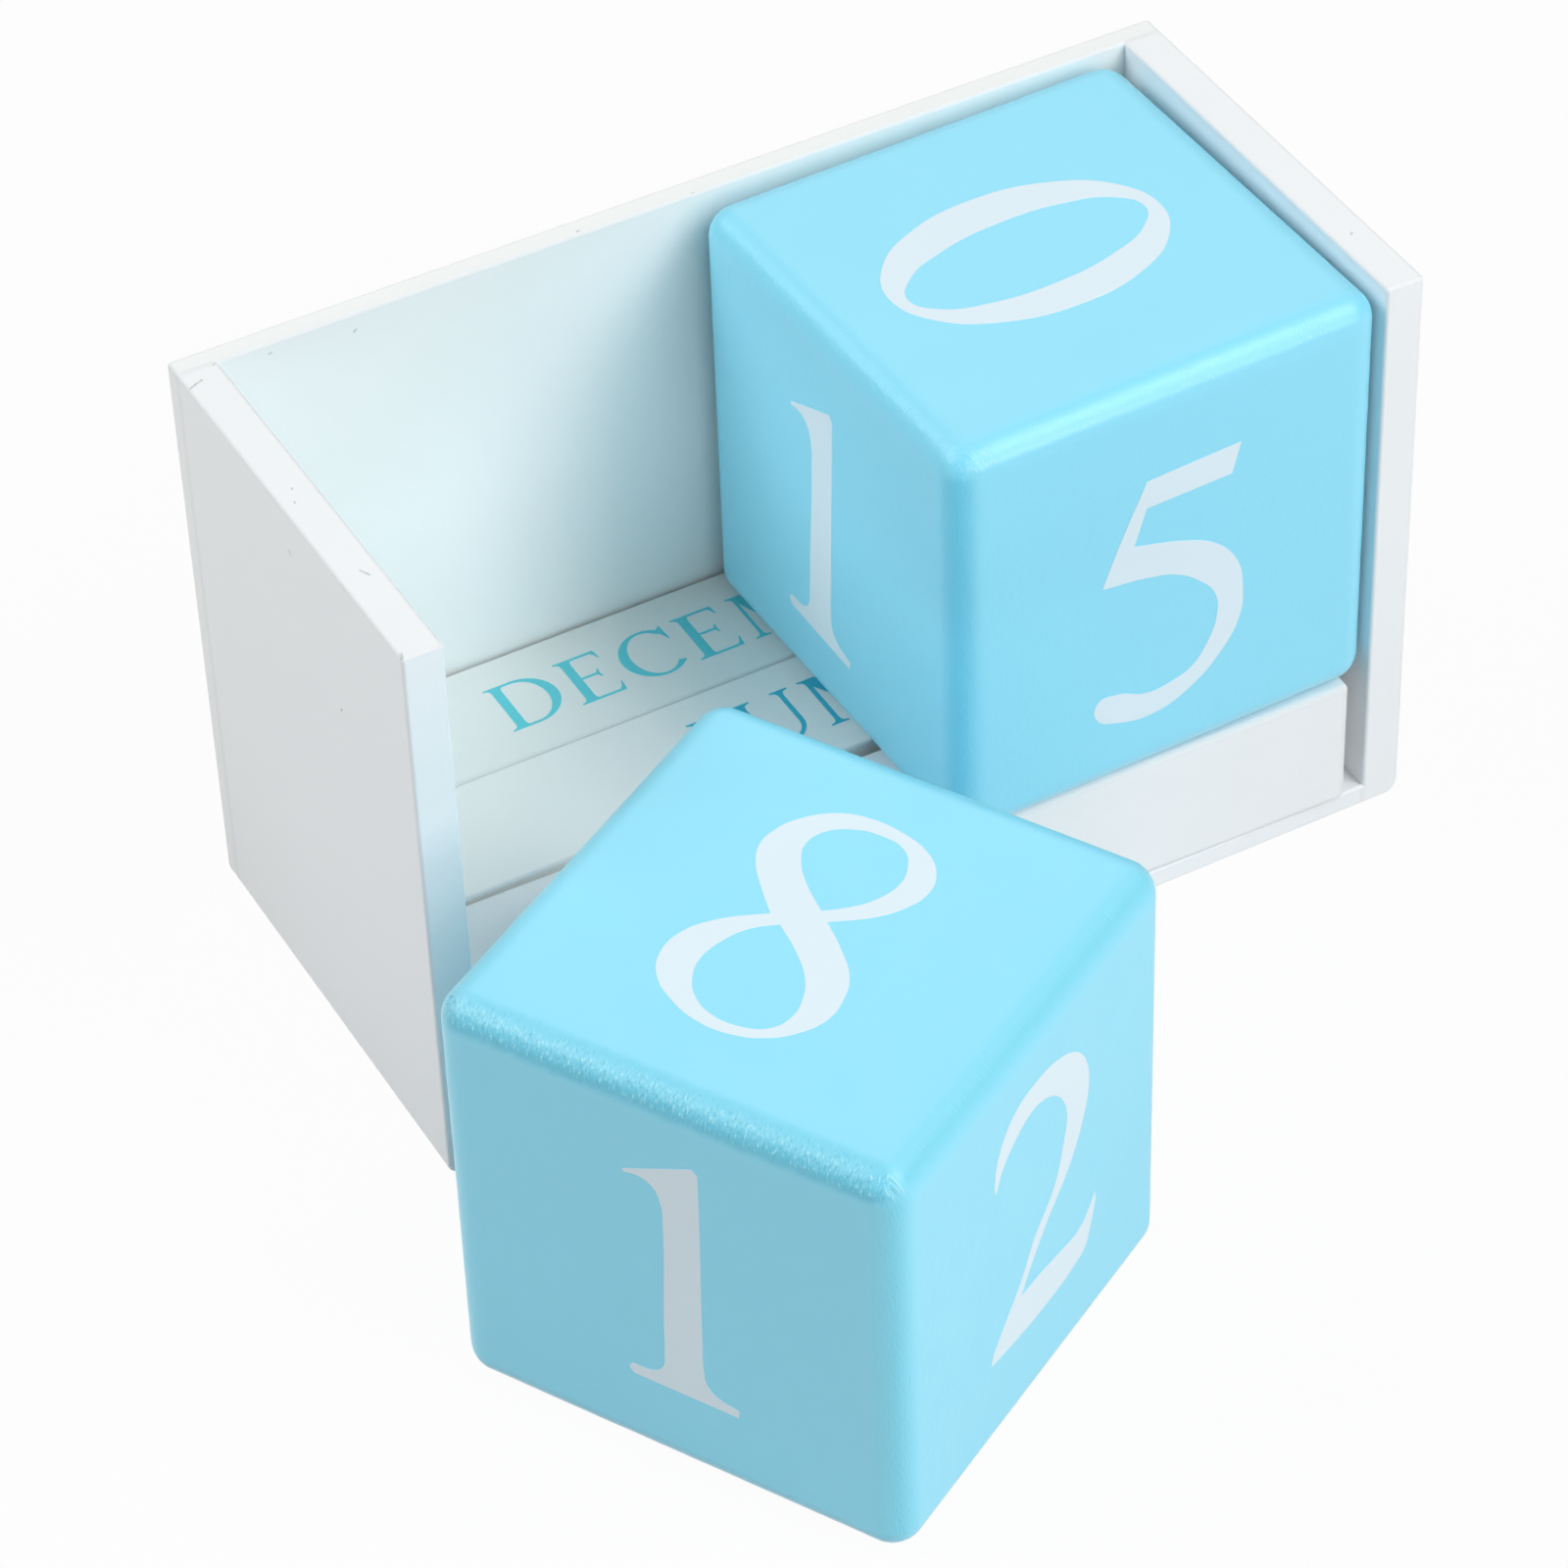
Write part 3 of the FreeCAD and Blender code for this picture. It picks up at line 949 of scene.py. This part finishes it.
def draw_letter(pen, letter):
    """Draws one capital and gives its width."""
    thick = pen.thick
    thin = pen.thin
    stem = 8 + thick / 2
    top = 100 - thin / 2
    if letter == "A":
        pen.slope((37 - thick / 2 + thin / 2, 101), (11, 0), thin)
        pen.slope((37, 101), (63, 0), thick)
        pen.arm(20, 53, 33)
        pen.slab(11, 0, thin)
        pen.slab(63, 0, thick)
        return 70.5 + thick / 2
    if letter == "B":
        pen.upright(stem, thick)
        pen.belly(stem, 31, 51, 100, 55)
        pen.belly(stem, 33, 0, 51 + thin, 62)
        return 62
    if letter == "C":
        pen.ring((42, 50), 42, 51.5, 46, 318)
        pen.beak(72)
        return 73
    if letter == "D":
        pen.upright(stem, thick)
        pen.belly(stem, 36, 0, 100, 80)
        return 80
    if letter in "EF":
        pen.upright(stem, thick)
        pen.arm(stem, 55, top, -18)
        pen.arm(stem, 44, 52, -11)
        pen.arm(stem, 44, 52, 11)
        if letter == "E":
            pen.arm(stem, 59, thin / 2, 20)
        return 61 if letter == "E" else 57
    if letter == "G":
        pen.ring((42, 50), 42, 51.5, 46, 308)
        pen.beak(72)
        pen.strip([(69 - thick / 2, 3), (69 - thick / 2, 42)], [(69 + thick / 2, 10), (69 + thick / 2, 42)])
        pen.foot(69, 44, thick, -1)
        return 77 + thick / 2
    if letter == "H":
        pen.upright(stem, thick)
        pen.upright(77 - thick / 2, thick)
        pen.arm(stem, 70, 51)
        return 85
    if letter == "I":
        pen.upright(stem, thick)
        return 16 + thick
    if letter == "J":
        middle = stem + 12
        pen.upright(middle, thick, 26, 100, "high")
        pen.swell([
            (middle, 60), (middle, 26), (middle - 4, 6), (middle - 13, -3), (middle - 22, -2),
            (middle - 30, 8),
        ])
        pen.crescent((middle - 21, 3), 5.5, 6, (middle - 21, 3), 0, 0, 0, 360)
        return 28 + thick
    if letter == "L":
        pen.upright(stem, thick)
        pen.arm(stem, 57, thin / 2, 22)
        return 59
    if letter == "M":
        pen.upright(12, thin)
        pen.slope((15, 100), (48, 0), thick)
        pen.slope((82, 100), (48, 0), thin)
        pen.upright(82, thick)
        return 90 + thick / 2
    if letter == "N":
        pen.upright(12, thin)
        pen.slope((15, 100), (70 + thin / 2 - thick / 2, 0), thick)
        pen.upright(70, thin, 0, 100, "high")
        return 79
    if letter == "O":
        pen.ring((41, 50), 41, 51.5, 0, 360)
        return 82
    if letter == "P":
        pen.upright(stem, thick)
        pen.belly(stem, 33, 45, 100, 60)
        return 60
    if letter == "R":
        pen.upright(stem, thick)
        pen.belly(stem, 32, 48, 100, 58)
        pen.slope((34, 50), (64, 0), thick)
        pen.slab(65, 0, thick)
        return 73
    if letter == "S":
        pen.swell([
            (55, 76), (46, 91), (30, 98.5), (14, 92), (9, 76), (17, 62), (33, 48), (43, 34), (43, 16),
            (31, 3), (18, 1.5), (8, 9), (-2, 26),
        ])
        pen.strip([(36, 96), (43, 86), (47.4, 72)], [(46.5, 101), (47.4, 86), (48.6, 72)])
        pen.strip([(4, -1), (3.6, 14), (3, 30)], [(13, 6), (8, 14), (4.4, 30)])
        return 51
    if letter == "T":
        pen.upright(37, thick, 0, 100, "low")
        pen.arm(37, 5, top, -18)
        pen.arm(37, 69, top, -18)
        return 74
    if letter == "U":
        left = stem - thick / 2
        right = 70 + thin / 2
        pen.upright(stem, thick, 33, 100, "high")
        pen.upright(70, thin, 33, 100, "high")
        centre = ((left + right) / 2, 33)
        hollow = ((left + thick + right - thin) / 2, 33)
        hollow_across = (right - thin - left - thick) / 2
        hollow_tall = 34.5 - thin * 1.3
        pen.crescent(centre, (right - left) / 2, 34.5, hollow, hollow_across, hollow_tall, 180, 360)
        return 80
    if letter == "V":
        pen.slope((15, 100), (40, -1), thick)
        pen.slope((65, 100), (42, -1), thin)
        pen.slab(15, 100, thick, -1)
        pen.slab(65, 100, thin, -1)
        return 75
    if letter == "Y":
        pen.slope((14, 100), (38, 44), thick)
        pen.slope((64, 100), (40, 44), thin)
        pen.upright(38, thick, 0, 46, "low")
        pen.slab(14, 100, thick, -1)
        pen.slab(64, 100, thin, -1)
        return 74
    raise ValueError(letter)


letter_spread = 1.2
letter_gap = 13
thin_teal = (0.30, 0.72, 0.78, 1)


def printed_word(name, word, height, thick, thin):
    """A word as a thin film on its own XY plane, centred on the plane's origin."""
    pieces = []
    start = 0.0
    for letter in word:
        pen = Pen(thick, thin)
        width = draw_letter(pen, letter)
        pieces += [[(x + start, y) for x, y in piece] for piece in pen.pieces]
        start += width + letter_gap
    length = start - letter_gap
    unit = height / 100
    across = unit * letter_spread
    corners = [Vector(((x - length / 2) * across, (y - 50) * unit)) for piece in pieces for x, y in piece]
    loops = [list(range(4 * k, 4 * k + 4)) for k in range(len(pieces))]
    places, _, faces, _, _, inked_by = delaunay_2d_cdt(corners, [], loops, 1, 1e-7)
    mesh = bmesh.new()
    points = [mesh.verts.new((x, y, 0)) for x, y in places]
    for face, inked in zip(faces, inked_by):
        if inked:
            mesh.faces.new([points[k] for k in face])
    bmesh.ops.delete(mesh, geom=[v for v in mesh.verts if not v.link_faces], context="VERTS")
    bmesh.ops.dissolve_limit(mesh, angle_limit=0.01, verts=mesh.verts, edges=mesh.edges)
    rim = [edge.verts[:] for edge in mesh.edges if edge.is_boundary]
    raised = {point: mesh.verts.new((point.co.x, point.co.y, film_proud)) for point in mesh.verts[:]}
    for face in mesh.faces[:]:
        mesh.faces.new([raised[point] for point in face.verts])
    for first, second in rim:
        mesh.faces.new([first, second, raised[second], raised[first]])
    bmesh.ops.recalc_face_normals(mesh, faces=mesh.faces)
    data = bpy.data.meshes.new(name)
    mesh.to_mesh(data)
    mesh.free()
    film = bpy.data.objects.new(name, data)
    bpy.context.scene.collection.objects.link(film)
    return film


def month_finish(name, teal):
    """Teal printed film, a little thin in places."""
    made, tree, shader, place = start_finish(name)
    worn = noise_value(tree, place, 1500.0, 3.0, 0.6)
    thin_ink = spread(tree, worn, 0.55, 0.8, 0.0, 0.35)
    ink = mixed(tree, thin_ink, teal, thin_teal)
    tree.links.new(ink, shader.inputs["Base Color"])
    tree.links.new(spread(tree, worn, 0.2, 0.8, 0.40, 0.55), shader.inputs["Roughness"])
    return made


# Height of the capitals, the widths of their thick and thin strokes in hundredths of it, and
# the colour of the print, lighter or darker from bar to bar as painted light and shade on one ink
month_print = {
    "month_bar_rear": (0.0073, 12.5, 4.5, (0.14, 0.70, 0.78, 1)),
    "month_bar_middle": (0.0078, 17, 6, (0.06, 0.53, 0.69, 1)),
    "month_bar_front": (0.0076, 14, 5, (0.10, 0.62, 0.74, 1)),
}
month_names = {
    "month_bar_rear": {"top": "DECEMBER", "front": "AUGUST", "bottom": "OCTOBER", "back": "FEBRUARY"},
    "month_bar_middle": {"top": "JUNE", "front": "SEPTEMBER", "bottom": "APRIL", "back": "NOVEMBER"},
    "month_bar_front": {"top": "MARCH", "front": "MAY", "bottom": "JANUARY", "back": "JULY"},
}
for bar, months in month_names.items():
    height, thick, thin, teal = month_print[bar]
    # The print's teal differs by bar: painted light and shade
    print_paint = month_finish("teal_print_" + bar, teal)
    for face, month in months.items():
        film = printed_word("month_" + month.lower(), month, height, thick, thin)
        film.data.materials.append(print_paint)
        film.matrix_world = bar_places[bar] @ face_place(face, bar_size, (0, 0), 0)
        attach(film, bar)


# Brads
# Headless wire nails, out of sight in the boards: bright drawn steel with fine lines along
# the wire.
wire_grey = (0.56, 0.56, 0.58, 1)
wire_bright = (0.66, 0.66, 0.67, 1)


def brad_finish(name):
    """Drawn steel wire."""
    made, tree, shader, place = start_finish(name)
    shader.inputs["Metallic"].default_value = 1.0
    lines = add_node(tree, "ShaderNodeMapping", {"Vector": place, "Scale": (0.1, 0.1, 1)})
    drawn = noise_value(tree, lines.outputs[0], 6000.0, 2.0)
    tree.links.new(mixed(tree, drawn, wire_grey, wire_bright), shader.inputs["Base Color"])
    tree.links.new(spread(tree, drawn, 0.2, 0.8, 0.25, 0.4), shader.inputs["Roughness"])
    return made


drawn_steel = brad_finish("drawn_steel")
for brads in (name for name in nodes if name.endswith("_brads")):
    nodes[brads].data.materials.clear()
    nodes[brads].data.materials.append(drawn_steel)
